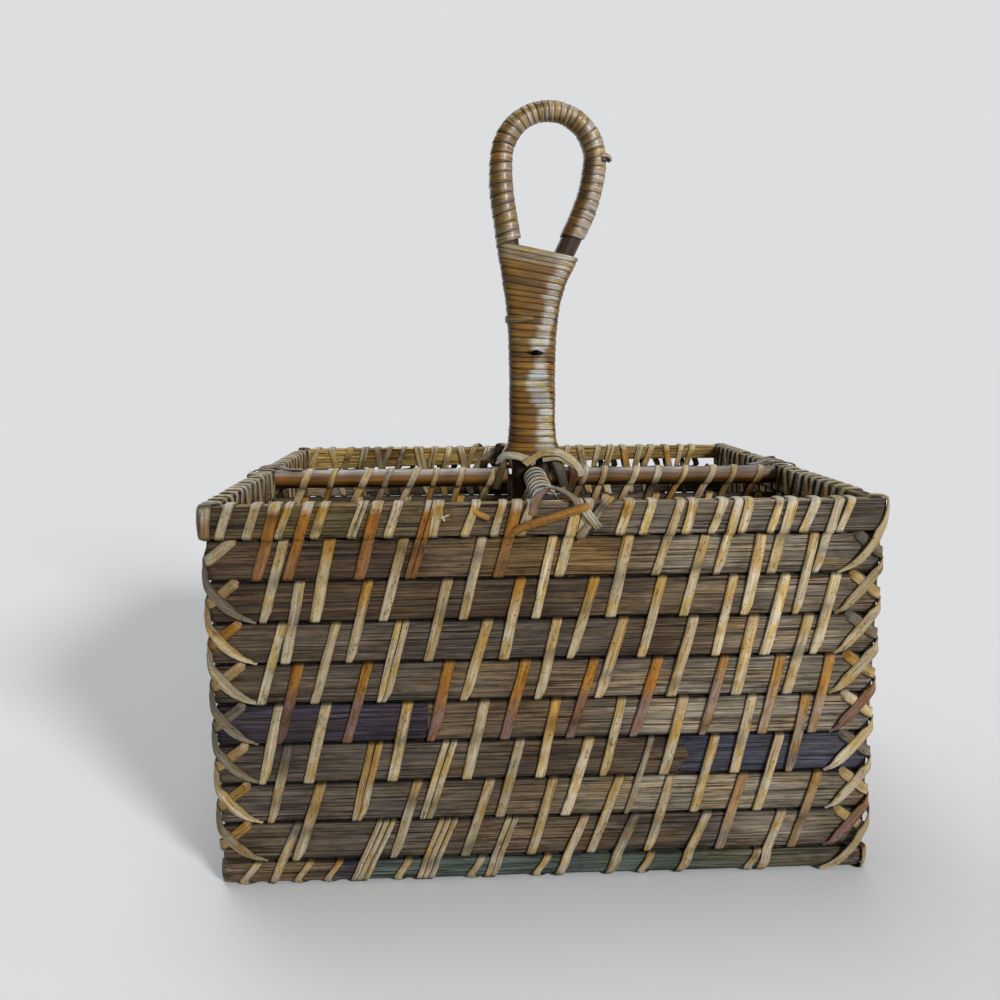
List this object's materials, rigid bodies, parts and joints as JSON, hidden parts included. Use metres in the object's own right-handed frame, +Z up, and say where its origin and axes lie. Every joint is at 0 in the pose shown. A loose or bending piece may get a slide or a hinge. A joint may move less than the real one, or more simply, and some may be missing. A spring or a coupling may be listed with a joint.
{
  "type": "cutlery caddy",
  "caption": "Open rectangular caddy of lashed bamboo splints with crossed dividers and a cane-wound loop handle, for carrying upright cutlery.",
  "frame": {"origin": "on the floor under the middle of the caddy", "axes": "+Z up along the handle; +X to the right and -Y towards the viewer at the front wall"},
  "size_m": [0.2486, 0.2086, 0.3039],
  "materials": {
    "bamboo": "aged satin bamboo, fine grain",
    "rim_bamboo": "aged satin bamboo",
    "foot_bamboo": "weathered bamboo",
    "cane": "glossy split cane",
    "wound_cane": "glossy wound cane",
    "rattan": "varnished rattan"
  },
  "bodies": {
    "root": {"front_splint_1": "bamboo", "front_splint_2": "bamboo", "front_splint_3": "bamboo", "front_splint_4": "bamboo", "front_splint_5": "bamboo", "front_splint_6": "bamboo", "front_splint_7": "bamboo", "front_splint_8": "bamboo", "right_splint_1": "bamboo", "right_splint_2": "bamboo", "right_splint_3": "bamboo", "right_splint_4": "bamboo", "right_splint_5": "bamboo", "right_splint_6": "bamboo", "right_splint_7": "bamboo", "right_splint_8": "bamboo", "back_splint_1": "bamboo", "back_splint_2": "bamboo", "back_splint_3": "bamboo", "back_splint_4": "bamboo", "back_splint_5": "bamboo", "back_splint_6": "bamboo", "back_splint_7": "bamboo", "back_splint_8": "bamboo", "left_splint_1": "bamboo", "left_splint_2": "bamboo", "left_splint_3": "bamboo", "left_splint_4": "bamboo", "left_splint_5": "bamboo", "left_splint_6": "bamboo", "left_splint_7": "bamboo", "left_splint_8": "bamboo", "front_stitches": "cane", "right_stitches": "cane", "back_stitches": "cane", "left_stitches": "cane", "rim_outer_bands": "rim_bamboo", "rim_inner_bands": "rim_bamboo", "rim_lashing": "cane", "foot_rails": "foot_bamboo", "foot_lashing": "cane", "corner_lacing": "cane", "base_splints": "bamboo", "base_stitches": "cane", "long_rail_left": "rattan", "long_rail_right": "rattan", "long_divider_splints": "bamboo", "long_divider_stitches": "cane", "cross_rail_front": "rattan", "cross_rail_back": "rattan", "cross_divider_splints": "bamboo", "cross_divider_stitches": "cane", "rail_ties": "cane", "handle_rod": "rattan", "loop_winding": "wound_cane", "stem_winding": "wound_cane", "collar_lashing": "cane"}
  },
  "joints": []
}
